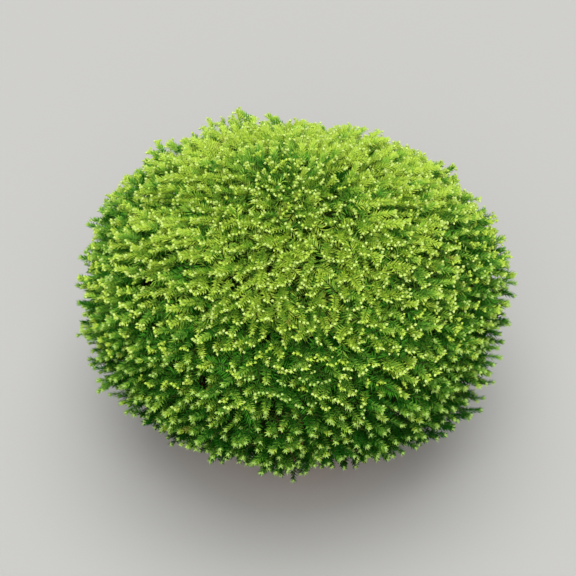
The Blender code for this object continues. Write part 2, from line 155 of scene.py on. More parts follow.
# Sprays: how many, their lowest and highest latitude, the steps in which the crown's area is summed up
# between them, their size, and their clearance from borders and pot
SPRAY_COUNT = 550
LOWEST_LATITUDE = -47.0
HIGHEST_LATITUDE = 89.0
AREA_STEPS = 2000
SPRAY_LENGTH = 0.054
SPRAY_HALF_WIDTH = 0.0165
SPRAY_THICKNESS = 0.0085
SPRAY_BORDER = 0.0006
SPRAY_ABOVE_POT = 0.003
SPRAY_SEED = 20
STRAY_LATITUDE = 2.0
STRAY_AZIMUTH = 3.0
STRAY_SWING = 14.0
STRAY_RISE = 9.0
STRAY_TWIST = 38.0
TIP_SPREAD = (0.955, 1.025)
LENGTH_SPREAD = (0.92, 1.08)
WIDTH_SPREAD = (0.85, 1.15)
NARROWING = (1.0, 0.85, 0.7, 0.55, 0.4)
SPRAY_RISE = ((-90.0, -12.0), (-20.0, 0.0), (30.0, 13.0), (60.0, 34.0), (90.0, 76.0))
SPRAY_OUTLINE = ((1.0, 0.62), (0.34, 0.68))
SPRAY_CREST = 0.45

# Swell of the crown's surface as waves (height, waves round it, slant, turn), and its tufts, lobes and dents
# (azimuth, latitude and width in degrees, rise), all as shares of its reach
BASE_REACH = 0.975
SWELLS = ((0.012, 3, 0.0, 0.7), (0.0096, 5, 4.0, 0.0))
LOBES = (
    (113.0, 38.0, 9.0, 0.115),
    (94.0, 38.0, 9.0, 0.030),
    (154.0, 20.0, 14.0, 0.040),
    (196.0, -13.0, 14.0, 0.032),
    (135.0, 31.0, 6.0, 0.055),
    (208.0, -22.0, 11.0, 0.045),
    (247.0, -38.0, 11.0, -0.045),
    (265.0, -41.0, 8.0, 0.030),
    (316.0, -30.0, 16.0, 0.065),
    (332.0, -20.0, 9.0, 0.040),
    (8.0, 8.0, 8.0, 0.025),
    (39.0, 28.0, 6.0, 0.065),
)

# Shoots of a spray, in shares of its size: their places across it and how far they stray from there, how far
# the outer ones and any one fall back from its tip, and where one in the middle and one at its edge leave it
FAN_PLACES = (-0.75, 0.0, 0.75)
FAN_STRAY = 0.18
FAN_ROUNDING = 0.16
FAN_STAGGER = 0.12
FAN_FORKS = (0.60, 0.26)
FAN_FORK_STRAY = 0.04

# Where shoots end: how near the crown's surface (share of its reach) and how much of the way there they are
# lifted, how far the fan is rolled (degrees) and how much more on top, and how far back the midrib ends
FAN_DEPTHS = (0.885, 0.998)
FAN_LIFT = 0.6
FAN_ROLL = 8.0
TOP_ROLL = 60.0
TIP_SHORT = 0.0045

# The way that shoots go at their ends: length, rise by latitude, how far rise and azimuth stray (degrees),
# how far they turn out of the crown, and how much the upper side of a fan looks outwards
SHOOT_LENGTH = 0.022
SHOOT_RISE = ((-90.0, 0.0), (-20.0, 8.0), (30.0, 8.0), (55.0, 5.0), (75.0, 28.0), (90.0, 70.0))
SHOOT_RISE_STRAY = 15.0
SHOOT_SWING = 42.0
SHOOT_TURNED = 0.75
FACE_OUTWARDS = 0.5
SHOOT_SEED = 7

# More sprays, of one shoot each, where the shoots stand furthest apart: how many, out of how many, how far
# they reach and stray against the first ones, and their lift at a latitude (degrees)
MORE_SPRAYS = 1500
MORE_CANDIDATES = 7000
MORE_SEED = 31
MORE_TIP = 0.952
MORE_STRAY = 1.7
MORE_LIFT = -14.0
MORE_LIFT_LATITUDE = 60.0
MORE_PLACES = (0.0,)

# Twigs: radius at foot and end of each kind, steps of their paths, how far back they bend, where branchlets
# leave their stem, where old shoots sit on a branchlet, and from where on a midrib bears needles
STEM_RADII = (0.0026, 0.0018)
BRANCHLET_RADII = (0.0016, 0.0011)
MIDRIB_RADII = (0.0009, 0.0003)
SIDE_TWIG_RADII = (0.0005, 0.0003)
OLD_TWIG_RADII = (0.0007, 0.0002)
TWIG_STEPS = 4
SIDE_TWIG_STEPS = 3
TWIG_UPRIGHT = 0.95
TWIG_BEND = 0.5
BRANCHLET_BEND = 0.4
BRANCHLET_FEET = (0.25, 1.0)
OLD_SHOOT_FEET = (0.6, 0.8, 1.0)
MIDRIB_NEEDLED_FROM = 0.10

# Kinds of a shoot's needles and buds, in the order in which SHADES gives their tints
BUD, ROSETTE, OUTER, INNER, STAR = range(5)

# Needles of a young shoot: a brush that is parted below and closes in towards its end (lean in degrees and
# size at foot and end), how far each one strays, and from where on they are outer ones and like the rosette
BRUSH_NEEDLES = 46
BRUSH_PARTING = 122.0
BRUSH_LEAN = (60.0, 36.0)
BRUSH_SIZE = (1.06, 0.80)
BRUSH_LEAN_STRAY = 5.0
BRUSH_SIZE_SPREAD = (0.86, 1.10)
BRUSH_TURN_STRAY = 0.03
BRUSH_END = 0.96
OUTER_FROM = 0.42
ROSETTE_FROM = 0.80
KIND_STRAY = 0.12
NEEDLE_LENGTH = 0.0070
NEEDLE_WIDTH = 0.0015
NEEDLE_THICKNESS = 0.0004
NEEDLE_TWIST = 0.3
NEEDLE_WIDEST = 0.38

# The shoot's end, high up and low down: how many needles its rosette has, their length, lean and kind, how
# many buds stand beside the end one, and its kind; below a latitude, with some stray, the ends are starry
SHOOT_ENDS = {
    "budded": (4, 0.0034, 34.0, ROSETTE, 2, BUD),
    "starry": (5, 0.0045, 38.0, STAR, 0, STAR),
}
STARRY_BELOW = 12.0
STARRY_STRAY = 12.0
ROSETTE_WIDTH = 0.0016
ROSETTE_PLACE = 0.94
ROSETTE_TURN_STRAY = 0.4
ROSETTE_LEAN_STRAY = 20.0
ROSETTE_SPREAD = (0.85, 1.15)
BUD_LENGTH = 0.0041
BUD_RADIUS = 0.00175
BUD_WIDEST = 0.45
BUD_TURN = 0.3
BUD_SUNK = 0.4
SIDE_BUD_SIZE = 0.85
SIDE_BUD_SPREAD = (0.85, 1.15)
SIDE_BUD_OFF = 0.0034
SIDE_BUD_LEAN = 50.0
SIDE_BUD_LEAN_STRAY = 12.0
SIDE_BUD_TURN_STRAY = 0.9
SIDE_BUD_PLACE = 0.88
SIDE_BUD_STAGGER = 0.05

# How many needles and buds are one tint darker, and how many different shoots of each kind there are
DULL_NEEDLES = 0.16
DULL_BUDS = 0.32
TEMPLATES = 8

# Flat needles of older shoots: how far they turn to both sides and lean (degrees), how far they stray, and
# from where on they are of the outer kind; then how many there are on a shoot, and their length and width
OLD_TURN = 75.0
OLD_TURN_STRAY = 55.0
OLD_LEAN = (68.0, 42.0)
OLD_LEAN_STRAY = 9.0
OLD_SIZE_SPREAD = (0.82, 1.1)
OLD_OUTER_FROM = 0.55
OLD_KIND_STRAY = 0.2
OLD_NEEDLES = {
    "inner": (12, NEEDLE_LENGTH, 0.0016),
    "old": (30, 0.0095, 0.0013),
    "deep": (34, 0.0115, 0.0024),
}

# Old shoots behind the sprays, and deep ones behind those: how many, and how deep they lie (shares of the
# crown's reach); their length, how much they point out of the crown, and how far they stray. The deep ones
# take the darkest tint, as painted shade deep in the crown
OLD_SHOOTS = {"old": (1700, (0.70, 0.88)), "deep": (450, (0.45, 0.80))}
OLD_SHOOT_LENGTH = 0.030
OLD_OUTWARDS = 0.25
OLD_OUTWARDS_STRAY = 0.25
OLD_LATITUDE_STRAY = 1.0

# Which old shoots are brighter or darker, as painted light and painted shade: by how far up the crown faces
# there, and round the way that its upper front faces
OLD_HIGH_FROM = 0.62
OLD_LOW_BELOW = 0.10
LIT_CREST = Vector((0.0, -0.375, 0.927))
LIT_CREST_WITHIN = 0.95

# Plain tints of the needles, with their gloss; up to the place of the darkest, each one dulls to the next;
# the pale bluish tint of tips in shaded sprays is a painted shade of the pale tip
TINTS = (
    ("needles_pale_tip", (0.54, 0.69, 0.18), 0.1),
    ("needles_bright", (0.45, 0.62, 0.075), 0.15),
    ("needles_young", (0.43, 0.60, 0.055), 0.2),
    ("needles_fresh", (0.25, 0.46, 0.040), 0.15),
    ("needles_middle", (0.105, 0.280, 0.024), 0.12),
    ("needles_deep", (0.020, 0.125, 0.008), 0.05),
    ("needles_dark", (0.009, 0.080, 0.004), 0.03),
    ("needles_rusty", (0.31, 0.36, 0.045), 0.2),
    # A bluer copy of the pale tip for the tips of shaded sprays: painted shade
    ("needles_shaded_tip", (0.40, 0.58, 0.14), 0.1),
    ("needles_shade", (0.058, 0.250, 0.015), 0.08),
)
NEEDLE_ROUGHNESS = 0.6
DARKEST = 6

# The tints, by their places in TINTS, of a shoot's bud, rosette, outer needles, inner needles and star: first
# in the shades of sprays, then in those of midribs and old shoots. The shades of sprays from brightest to
# unlit are lit and shaded copies of the same needles: paler new growth on top in part, painted light and
# painted shade for the rest; so are the old shoots' brighter shades up top and in front, and darker ones low
# down and deep inside
SHADES = {
    "brightest": (0, 1, 2, 2, 0),
    "sunny": (0, 1, 2, 3, 0),
    "middle": (0, 1, 3, 4, 8),
    "shaded": (1, 2, 4, 5, 8),
    "dim": (8, 3, 4, 5, 8),
    "lowest": (8, 4, 5, 6, 8),
    "unlit": (3, 5, 6, 6, 8),
    "rusty": (1, 2, 7, 3, 8),
    "inner": (9, 9, 9, 9, 9),
    "crest": (9, 9, 2, 3, 9),
    "high": (9, 9, 3, 9, 9),
    "old": (9, 9, 9, 9, 9),
    "low": (6, 6, 5, 6, 6),
    "deep": (6, 6, 6, 6, 6),
}

# How light a spray is, as painted light and painted shade with a little of the paler new growth on top: by
# latitude, by how far it faces front or, by a share of that, back, and at random; the light above which each
# shade is dealt out ("unlit" to the rest); and the share that has turned rusty
LIGHT_BY_LATITUDE = (
    (-90.0, -1.4), (-30.0, -1.02), (0.0, -0.20), (25.0, 0.02), (45.0, 0.66), (60.0, 0.72), (90.0, 0.28),
)
FACING_LIGHT = 0.30
BACK_SHARE = 0.5
SHADE_STRAY = 0.38
SHADE_FROM = (
    ("brightest", 0.80), ("sunny", 0.50), ("middle", 0.22),
    ("shaded", 0.0), ("dim", -0.38), ("lowest", -0.85),
)
RUSTY_SHARE = 0.010

# Barks of branchlets and of young twigs, each between two tones, darker and greener than bark alone: in part
# painted shade of the crown's inside
TWIG_BARKS_AND_SHADE = (
    ("branchlet_bark_and_shade", ((0.016, 0.020, 0.006), (0.040, 0.042, 0.014))),
    ("young_twig_bark_and_shade", ((0.035, 0.075, 0.012), (0.08, 0.13, 0.02))),
)

# Pale floor and soft studio light: the way that each light shines and its power
FLOOR_TONE = (0.40, 0.395, 0.38)
FLOOR_REACH = 12.0
WORLD_COLOUR = (0.95, 0.98, 1.0)
WORLD_POWER = 0.30
SKY_LIGHTS = (
    ("overhead_light", (0.0, -0.05, -1.0), 2.3),
    ("front_light", (0.06, 0.95, -0.85), 2.6),
)
SKY_LIGHT_SPREAD = 60.0

# The photograph's viewpoint
CAMERA_ELEVATION = 38.0
CAMERA_DISTANCE = 1.40
CAMERA_LENS = 86.5
CAMERA_SENSOR = 36.0
CAMERA_AIM = Vector((-0.006, 0.0025, 0.163))

GOLDEN_ANGLE = math.pi * (3.0 - math.sqrt(5.0))
GOLDEN_SHARE = 0.618
PATH_END = 0.9999
TINY = 1e-6
CROWN_MIDDLE = Vector((0.0, 0.0, CROWN_MIDDLE_Z))
RADII = Vector((CROWN_WIDTH / 2.0, CROWN_WIDTH / 2.0, CROWN_HEIGHT / 2.0))
SOIL_Z = POT_HEIGHT - SOIL_BELOW_RIM
UP = Vector((0.0, 0.0, 1.0))


# Shader maths


class Shade:
    """A node's output that can be added, multiplied and fed to other nodes."""

    def __init__(self, tree, socket):
        self.tree = tree
        self.socket = socket

    def node(self, kind, settings, sockets, output=0):
        """Adds a node of a kind, sets it up, feeds its sockets by name or number, and gives one output."""
        made = self.tree.nodes.new(kind)
        for key, value in settings.items():
            setattr(made, key, value)
        for key, value in sockets.items():
            plug(self.tree, made.inputs[key], value)
        return Shade(self.tree, made.outputs[output])

    def maths(self, operation, first, second):
        return self.node("ShaderNodeMath", {"operation": operation}, {0: first, 1: second})

    def __add__(self, other):
        return self.maths("ADD", self, other)

    __radd__ = __add__

    def __mul__(self, other):
        return self.maths("MULTIPLY", self, other)

    __rmul__ = __mul__

    def __sub__(self, other):
        return self.maths("SUBTRACT", self, other)

    def __rsub__(self, other):
        return self.maths("SUBTRACT", other, self)

    def between(self, low, high):
        """0 below low, 1 above high, smooth between."""
        settings = {"interpolation_type": "SMOOTHSTEP"}
        return self.node("ShaderNodeMapRange", settings, {"Value": self, "From Min": low, "From Max": high})

    def blend(self, first, second):
        """The first colour where this is 0 and the second where it is 1, by a Mix node's colour sockets."""
        return self.node("ShaderNodeMix", {"data_type": "RGBA"}, {0: self, 6: first, 7: second}, output=2)


def plug(tree, socket, value):
    """Joins a Shade to a socket, or sets the socket to a number or colour."""
    if isinstance(value, Shade):
        tree.links.new(value.socket, socket)
    elif isinstance(value, tuple) and len(value) == 3 and len(socket.default_value) == 4:
        socket.default_value = (*value, 1.0)
    else:
        socket.default_value = value


def new_material(name, roughness, specular, colour=(0.5, 0.5, 0.5)):
    """A Principled material, and a Shade of its object coordinates."""
    made = bpy.data.materials.new(name)
    made.use_nodes = True
    fed(made, {"Base Color": colour, "Roughness": roughness, "Specular IOR Level": specular})
    return made, Shade(made.node_tree, made.node_tree.nodes.new("ShaderNodeTexCoord").outputs["Object"])


def fed(made, sockets):
    """The material, once some sockets of its shader are joined or set by name."""
    for key, value in sockets.items():
        plug(made.node_tree, made.node_tree.nodes["Principled BSDF"].inputs[key], value)
    return made


def bump(place, height, distance, strength=1.0):
    return place.node("ShaderNodeBump", {}, {"Height": height, "Distance": distance, "Strength": strength})


def clouds(place, scale, detail=4.0, roughness=0.55):
    sockets = {"Vector": place, "Scale": scale, "Detail": detail, "Roughness": roughness}
    return place.node("ShaderNodeTexNoise", {}, sockets)


def stretched(place, x, y, z):
    return place.node("ShaderNodeMapping", {}, {"Vector": place, "Scale": Vector((x, y, z))})


def height_of(place):
    return place.node("ShaderNodeSeparateXYZ", {}, {"Vector": place}, output=2)


def clay_material():
    """Fired clay: mottled, with lime bloom under the band and by the foot, and fine turning rings."""
    made, place = new_material("fired_clay", 0.82, 0.25)
    height = height_of(place)
    mottle = clouds(place, 26.0, 6.0).between(0.34, 0.68)
    body = mottle.blend((0.36, 0.135, 0.062), (0.53, 0.225, 0.112))
    flecks = clouds(place, 340.0, 3.0).between(0.62, 0.74)
    body = (flecks * 0.5).blend(body, (0.25, 0.085, 0.04))
    patches = clouds(stretched(place, 1.0, 1.0, 2.4), 21.0, 7.0, 0.65).between(0.50, 0.70)
    foot_bloom = 1.0 - height.between(*FOOT_BLOOM)
    band_bloom = height.between(*BAND_BLOOM_FROM) * (1.0 - height.between(*BAND_BLOOM_TO))
    bloom = patches * (foot_bloom * 0.75 + band_bloom * 0.6)
    colour = bloom.blend(body, (0.66, 0.50, 0.41))
    damp = (1.0 - height.between(*FOOT_DAMP)) * clouds(place, 14.0).between(0.40, 0.60)
    colour = (damp * 0.5).blend(colour, (0.22, 0.085, 0.045))
    rings = clouds(stretched(place, 0.6, 0.6, 60.0), 8.0, 3.0)
    grain = clouds(place, 520.0, 2.0)
    relief = bump(place, rings * 0.7 + grain * 0.25, 0.0011, 0.55)
    return fed(made, {"Base Color": colour, "Roughness": 0.78 + bloom * 0.14, "Normal": relief})


def compost_material():
    made, place = new_material("compost", 0.95, 0.2)
    crumbs = clouds(place, 130.0, 6.0, 0.7)
    colour = crumbs.between(0.36, 0.66).blend((0.018, 0.011, 0.007), (0.085, 0.052, 0.031))
    return fed(made, {"Base Color": colour, "Normal": bump(place, crumbs, 0.004)})


def chip_material():
    made, place = new_material("bark_chips", 0.9, 0.2)
    grain = clouds(stretched(place, 1.0, 1.0, 3.0), 160.0, 5.0)
    colour = grain.between(0.35, 0.65).blend((0.085, 0.045, 0.026), (0.26, 0.16, 0.10))
    return fed(made, {"Base Color": colour, "Normal": bump(place, grain, 0.0012)})


def bark_material():
    """Thin scaly bark: grey-brown plates over redder cracks."""
    made, place = new_material("bark", 0.9, 0.2)
    plates = clouds(stretched(place, 1.0, 1.0, 0.45), 210.0, 6.0, 0.65)
    broad = clouds(place, 45.0, 4.0)
    colour = plates.between(0.36, 0.60).blend((0.085, 0.040, 0.022), (0.25, 0.165, 0.105))
    colour = broad.between(0.46, 0.72).blend(colour, (0.30, 0.245, 0.185))
    return fed(made, {"Base Color": colour, "Normal": bump(place, plates, 0.0016)})


def twig_material(name, tones):
    made, place = new_material(name, 0.85, 0.08)
    tone = clouds(place, 90.0, 4.0).between(0.35, 0.65)
    return fed(made, {"Base Color": tone.blend(*tones)})


# Mesh helpers


def placed(name, data):
    """An object with some data, in the scene."""
    data.name = name
    obj = bpy.data.objects.new(name, data)
    bpy.context.scene.collection.objects.link(obj)
    return obj


def as_piece(obj, node_names):
    """Lets an object ride on the frame and stand for CAD nodes."""
    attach(obj, "root")
    if node_names:
        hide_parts(*node_names)


def add_piece(name, mesh, node_names):
    as_piece(placed(name, mesh), node_names)


def mesh_of(bm, finish, sharp_from=SHARP_FROM):
    mesh = bpy.data.meshes.new("piece")
    bm.to_mesh(mesh)
    bm.free()
    mesh.materials.append(finish)
    mesh.shade_smooth()
    mesh.set_sharp_from_angle(angle=math.radians(sharp_from))
    return mesh


def array_mesh(corners, faces, finishes, indices=None):
    """A mesh from arrays of corners and three-cornered faces."""
    mesh = bpy.data.meshes.new("piece")
    mesh.from_pydata(corners, [], faces)
    for finish in finishes:
        mesh.materials.append(finish)
    if indices is not None:
        mesh.polygons.foreach_set("material_index", indices)
    mesh.update()
    return mesh


def turned(profile, steps):
    """Spins a closed profile of (radius, height) points round the Z axis."""
    bm = bmesh.new()
    verts = [bm.verts.new((radius, 0.0, height)) for radius, height in profile]
    edges = [bm.edges.new((verts[i - 1], verts[i])) for i in range(1, len(verts))]
    bmesh.ops.spin(
        bm, geom=verts + edges, cent=(0, 0, 0), axis=(0, 0, 1), angle=math.tau, steps=steps, use_merge=True
    )
    bmesh.ops.remove_doubles(bm, verts=bm.verts, dist=TINY)
    bmesh.ops.recalc_face_normals(bm, faces=bm.faces)
    return bm


def drill(obj, bit):
    """Takes the bit's shape out of an object, and the bit away."""
    modifier = obj.modifiers.new("hole", "BOOLEAN")
    modifier.object = bit
    bpy.context.view_layer.update()
    cut = bpy.data.meshes.new_from_object(obj.evaluated_get(bpy.context.evaluated_depsgraph_get()))
    obj.modifiers.clear()
    obj.data = cut
    bpy.data.objects.remove(bit)


def bent_path(start, knee, end, steps):
    """Points of a quadratic curve from start to end that is drawn towards knee."""
    shares = [i / steps for i in range(steps + 1)]
    return [start * (1 - t) ** 2 + knee * 2 * t * (1 - t) + end * t * t for t in shares]


def curve_at(path, share):
    """The point at a share of a path of evenly spaced points."""
    spot = min(max(share, 0.0), PATH_END) * (len(path) - 1)
    i = int(spot)
    return path[i].lerp(path[i + 1], spot - i)


def along_at(path, i):
    """The way that a path goes at one of its points."""
    return (path[min(i + 1, len(path) - 1)] - path[max(i - 1, 0)]).normalized()


def rough_limb(bm, points, radii, sides, relief, grain):
    """Adds a closed limb with ridged bark: rings square to the path, bridged and capped."""
    loops = []
    for i, (point, radius) in enumerate(zip(points, radii)):
        place = Matrix.Translation(point) @ along_at(points, i).to_track_quat("Z", "Y").to_matrix().to_4x4()
        end = i in (0, len(points) - 1)
        ring = bmesh.ops.create_circle(bm, cap_ends=end, segments=sides, radius=radius, matrix=place)
        for vert in ring["verts"]:
            away = (vert.co - point).normalized()
            height = vert.co.z * grain * BARK_UPWARDS
            spot = Vector((away.x * radius * grain, away.y * radius * grain, height))
            ridge = noise.noise(spot) + BARK_RIPPLES[1] * noise.noise(spot * BARK_RIPPLES[0])
            vert.co += away * radius * relief * ridge
        loops.append({edge for vert in ring["verts"] for edge in vert.link_edges})
    for first, second in zip(loops, loops[1:]):
        bmesh.ops.bridge_loops(bm, edges=list(first | second))


# The crown's own space, as in the solids


def direction(azimuth, latitude):
    """A point of the unit ball that the crown is a stretched copy of."""
    a, b = math.radians(azimuth), math.radians(latitude)
    return Vector((math.cos(a) * math.cos(b), math.sin(a) * math.cos(b), math.sin(b)))


def stray(chance, most):
    return chance.uniform(-most, most)


def mixed(pair, share):
    """The value at a share of the way from the first to the second of a pair."""
    return pair[0] + (pair[1] - pair[0]) * share


def crown_point(unit, share=1.0):
    return CROWN_MIDDLE + Vector((unit[i] * RADII[i] for i in range(3))) * share


def unit_of(point):
    """The place in the unit ball that a point of the crown comes from."""
    return Vector(((point[i] - CROWN_MIDDLE[i]) / RADII[i] for i in range(3)))


def reach(unit):
    """How far the crown reaches in a direction, as a share of its radii."""
    azimuth = math.atan2(unit.y, unit.x)
    level = math.hypot(unit.x, unit.y)
    total = BASE_REACH
    for height, waves, slant, turn in SWELLS:
        total += height * level * math.sin(waves * azimuth + slant * unit.z + turn)
    for lobe_azimuth, latitude, width, rise in LOBES:
        away = unit.angle(direction(lobe_azimuth, latitude)) / math.radians(width)
        total += rise * math.exp(-away * away)
    return total


def real_facing(unit_facing):
    """The way that a plane of the unit ball faces in the crown."""
    return Vector((unit_facing[i] / RADII[i] for i in range(3))).normalized()


def mass_list():
    """Name, axis, bough root height and plumb direction of each foliage mass."""
    chance = random.Random(MASS_SEED)
    masses = []
    for ring, count, latitude, turn, bough_z, stagger in RINGS:
        for i in range(count):
            azimuth = turn + 360.0 * i / count + stray(chance, AZIMUTH_SHIFT)
            axis = direction(azimuth, min(90.0, latitude + stray(chance, LATITUDE_SHIFT)))
            name = ring if count == 1 else f"{ring}_{i + 1}"
            height = None if bough_z is None else bough_z + stagger * (i % 2)
            outward = direction(azimuth, 0.0)
            masses.append({"name": name, "axis": axis, "bough_z": height, "outward": outward})
    return masses


def set_borders(masses):
    """Gives each mass the planes through the crown's middle that part it from the others."""
    for mass in masses:
        others = [other for other in masses if other is not mass]
        mass["borders"] = [real_facing(mass["axis"] - other["axis"]) for other in others]


def owner_of(masses, unit):
    """The mass whose space a direction of the crown lies in."""
    return max(masses, key=lambda mass: mass["axis"].dot(unit))


def room(mass, point):
    """The distance from point to the nearest border of a mass's space, below zero outside it."""
    return min((point - CROWN_MIDDLE).dot(normal) for normal in mass["borders"])


def core_walls(mass):
    """The flat walls of a mass's core as (point, inward normal)."""
    walls = [(CROWN_MIDDLE + normal * CORE_BORDER, normal) for normal in mass["borders"]]
    walls.append((crown_point(mass["axis"], CORE_INNER), real_facing(mass["axis"])))
    if mass["axis"].z < 0.0:
        walls.append((mass["outward"] * (POT_RIM_RADIUS + CORE_BEYOND_RIM), mass["outward"]))
    return walls


def even_latitudes(count):
    """Latitudes that share out the crown's surface from the top down to the lowest one evenly by area."""
    top, bottom = math.pi / 2, math.radians(LOWEST_LATITUDE)
    width, height = RADII.x, RADII.z
    areas, total = [], 0.0
    for i in range(AREA_STEPS):
        b = top + (bottom - top) * (i + 0.5) / AREA_STEPS
        total += math.cos(b) * math.hypot(width * math.sin(b), height * math.cos(b))
        areas.append(total)
    latitudes, i = [], 0
    for k in range(count):
        while areas[i] < total * (k + 0.5) / count:
            i += 1
        latitudes.append(math.degrees(top + (bottom - top) * (i + 0.5) / AREA_STEPS))
    return latitudes


def pressed_in(mass, point):
    """The point moved as little as it takes to lie well inside the mass's core."""
    for _ in range(ROOT_MOVES):
        for on_wall, normal in core_walls(mass):
            short = ROOT_DEPTH - (point - on_wall).dot(normal)
            if short > 0.0:
                point = point + normal * short
        unit = unit_of(point)
        deepest = CORE_OUTER - ROOT_DEPTH / RADII.z
        if unit.length > deepest:
            point = crown_point(unit * (deepest / unit.length))
    return point


def spray_points(spray, width_share=1.0):
    """The outline of a spray's blade and its two crest points, in place."""
    half_width = spray["half_width"] * width_share
    along = spray["tip"] - spray["root"]
    face = along.cross(spray["side"]).normalized()
    right = [spray["root"] + spray["side"] * (half_width * w) + along * s for w, s in SPRAY_OUTLINE]
    left = [spray["root"] - spray["side"] * (half_width * w) + along * s for w, s in SPRAY_OUTLINE]
    outline = [spray["root"]] + right + [spray["tip"]] + left[::-1]
    middle = spray["root"] + along * SPRAY_CREST
    crests = [middle + face * (SPRAY_THICKNESS / 2), middle - face * (SPRAY_THICKNESS / 2)]
    return outline, crests


def value_at(table, latitude):
    """The value at a latitude, drawn evenly between those that a table gives."""
    for (low, low_value), (high, high_value) in zip(table, table[1:]):
        if latitude <= high:
            return low_value + (high_value - low_value) * (latitude - low) / (high - low)
    return table[-1][1]


def grown_spray(masses, azimuth, latitude, chance, tip_share=1.0, lift=0.0, wildness=1.0):
    """The mass that a spray is part of, and the spray: a near level fan whose tip stands in a direction."""
    unit = direction(azimuth, latitude)
    owner = owner_of(masses, unit)
    tip = crown_point(unit, reach(unit) * tip_share * chance.uniform(*TIP_SPREAD))
    swing = stray(chance, STRAY_SWING * wildness)
    rise = value_at(SPRAY_RISE, latitude) + lift + stray(chance, STRAY_RISE * wildness)
    along = direction(azimuth + swing, rise)
    root = pressed_in(owner, tip - along * SPRAY_LENGTH * chance.uniform(*LENGTH_SPREAD))
    if room(owner, tip) < 2 * SPRAY_BORDER:
        tip = tip + (root - tip).normalized() * 2 * SPRAY_BORDER
    along = (tip - root).normalized()
    level = along.cross(UP).normalized()
    side = Matrix.Rotation(math.radians(stray(chance, STRAY_TWIST * wildness)), 3, along) @ level
    half_width = SPRAY_HALF_WIDTH * chance.uniform(*WIDTH_SPREAD)
    spray = {"mass": owner["name"], "latitude": latitude, "root": root, "tip": tip, "side": side}
    return owner, {**spray, "half_width": half_width}


def spray_list(masses):
    """The sprays of the whole crown: even over its surface, each a near level fan that points outwards."""
    chance, shoot_chance = random.Random(SPRAY_SEED), random.Random(SHOOT_SEED)
    sprays = []
    for k, latitude in enumerate(even_latitudes(SPRAY_COUNT)):
        latitude = min(HIGHEST_LATITUDE, latitude + stray(chance, STRAY_LATITUDE))
        azimuth = math.degrees(k * GOLDEN_ANGLE) + stray(chance, STRAY_AZIMUTH)
        owner, spray = grown_spray(masses, azimuth, latitude, chance)
        fitted = fit_spray(owner, spray)
        if fitted:
            sprays.append(with_shoot_ends(fitted, FAN_PLACES, shoot_chance))
    return sprays


def with_shoot_ends(spray, places, chance):
    """The spray with the points that its shoots end at, near the crown's surface."""
    root, tip = spray["root"], spray["tip"]
    unit = unit_of(tip)
    too_far = unit.length / reach(unit)
    if too_far > 1.0:
        tip = crown_point(unit / too_far)
    along = (tip - root).normalized()
    rolled = stray(chance, FAN_ROLL + TOP_ROLL * max(0.0, unit.z) ** 3)
    side = Matrix.Rotation(math.radians(rolled), 3, along) @ spray["side"]
    tip = tip - along * TIP_SHORT
    ends = []
    for place in places:
        spread = place + stray(chance, FAN_STRAY)
        back = FAN_ROUNDING * spread * spread + chance.uniform(0.0, FAN_STAGGER)
        end = tip - along * (tip - root).length * back + side * spray["half_width"] * spread
        unit = unit_of(end)
        surface = crown_point(unit.normalized() * reach(unit), chance.uniform(*FAN_DEPTHS))
        ends.append(end.lerp(surface, FAN_LIFT) if place else tip)
    return {**spray, "tip": tip, "side": side, "places": places, "ends": ends}


def more_sprays(masses, sprays):
    """Further sprays, each put where the shoots of the ones before it leave most room."""
    chance = random.Random(MORE_SEED)
    candidates = []
    for k, latitude in enumerate(even_latitudes(MORE_CANDIDATES)):
        latitude, azimuth = min(HIGHEST_LATITUDE, latitude), math.degrees(k * GOLDEN_ANGLE)
        lift = MORE_LIFT * max(0.0, latitude) / MORE_LIFT_LATITUDE
        _, spray = grown_spray(masses, azimuth, latitude, chance, MORE_TIP, lift, MORE_STRAY)
        if clears_pot(spray_points(spray)[0]):
            candidates.append(with_shoot_ends(spray, MORE_PLACES, chance))
    spots = np.array([spray["ends"][0] for spray in candidates])
    nearest = np.full(len(spots), np.inf)
    for end in (end for spray in sprays for end in spray["ends"]):
        nearest = np.minimum(nearest, np.linalg.norm(spots - np.array(end), axis=1))
    chosen = []
    for _ in range(MORE_SPRAYS):
        best = int(nearest.argmax())
        chosen.append(candidates[best])
        nearest = np.minimum(nearest, np.linalg.norm(spots - spots[best], axis=1))
    return chosen


def fit_spray(mass, spray):
    """The spray made narrow enough to keep to its mass's space, or None where it can't."""
    for width_share in NARROWING:
        outline, crests = spray_points(spray, width_share)
        points = outline + crests
        if min(room(mass, point) for point in points) > SPRAY_BORDER and clears_pot(points):
            return {**spray, "half_width": spray["half_width"] * width_share}
    return None


def clears_pot(points):
    """True if no point comes near the pot."""
    radius, height = POT_RIM_RADIUS + SPRAY_ABOVE_POT, POT_HEIGHT + SPRAY_ABOVE_POT
    return all(math.hypot(point.x, point.y) > radius or point.z > height for point in points)


def trunk_axis(z):
    """The trunk's centre at a height: plumb at its foot, with a slight lean above."""
    share = max(0.0, (z - SOIL_Z) / (TRUNK_TIP_Z - SOIL_Z) - TRUNK_PLUMB_SHARE)
    return Vector((TRUNK_LEAN * share * share, TRUNK_BEND * math.sin(math.pi * share), z))


def trunk_radius(z):
    """The trunk's radius at a height: a root flare that dies out, then an even taper."""
    share = (z - SOIL_Z) / (TRUNK_TIP_Z - SOIL_Z)
    flare = (TRUNK_FLARE_RADIUS - TRUNK_RADIUS) * math.exp(-share * TRUNK_FLARE_FADE)
    return TRUNK_RADIUS + (TRUNK_TIP_RADIUS - TRUNK_RADIUS) * share + flare


def bough_tip(mass):
    """Where a mass's bough ends and its stem begins."""
    if mass["bough_z"] is None:
        return trunk_axis(TRUNK_TIP_Z)
    if mass["axis"].z < 0.0:
        return mass["outward"] * LOWER_BOUGH_REACH + UP * LOWER_BOUGH_Z
    return crown_point(mass["axis"], CORE_INNER - BOUGH_SHORT_OF_CORE)


# Pot, compost, trunk and boughs


def level_point(radius, turn, height):
    return Vector((radius * math.cos(turn), radius * math.sin(turn), height))


